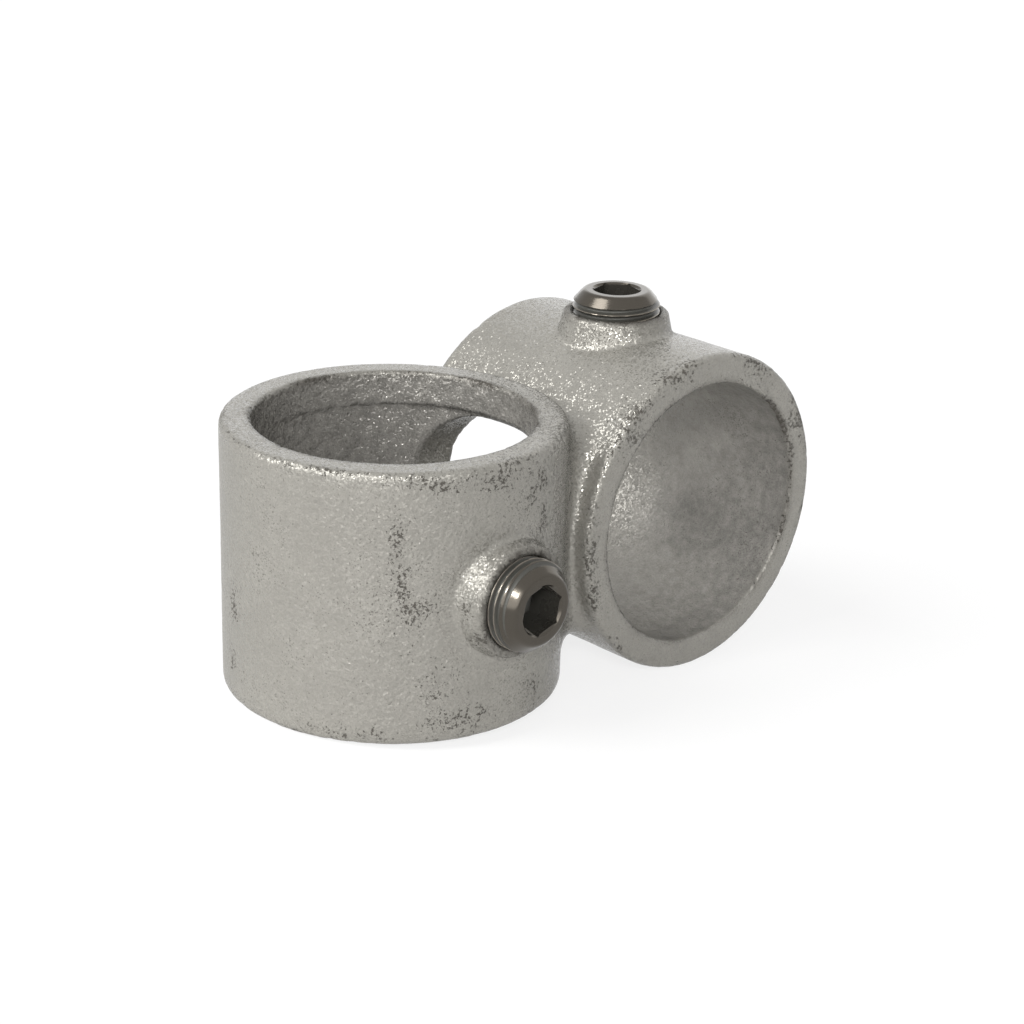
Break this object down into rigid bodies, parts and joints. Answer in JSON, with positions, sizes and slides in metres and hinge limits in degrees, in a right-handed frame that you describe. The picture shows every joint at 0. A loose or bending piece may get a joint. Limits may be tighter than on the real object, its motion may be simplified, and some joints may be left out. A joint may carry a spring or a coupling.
{
  "type": "crossover tube clamp",
  "caption": "Cast fitting with round sockets joined side by side at right angles, each with a set screw that clamps the tube passing through it.",
  "frame": {"origin": "centre of the upright socket's bore, halfway along it", "axes": "+Z along the upright bore, +X along the cross bore and out through the upright socket's screw, +Y from the upright socket to the cross socket"},
  "size_m": [0.0687, 0.1154, 0.0681],
  "materials": {
    "zinc_casting": "hot-dip galvanised",
    "screw_steel": "dark satin"
  },
  "bodies": {
    "clamp": {"clamp_body": "zinc_casting"},
    "upright_screw": {"upright_set_screw": "screw_steel"},
    "cross_screw": {"cross_set_screw": "screw_steel"}
  },
  "joints": [
    {"name": "upright_screw_travel", "type": "slide", "parent": "clamp", "child": "upright_screw", "axis": [1, 0, 0], "range_m": [-0.0022, 0.0034]},
    {"name": "cross_screw_travel", "type": "slide", "parent": "clamp", "child": "cross_screw", "axis": [0, 0, 1], "range_m": [-0.0016, 0.004]}
  ]
}
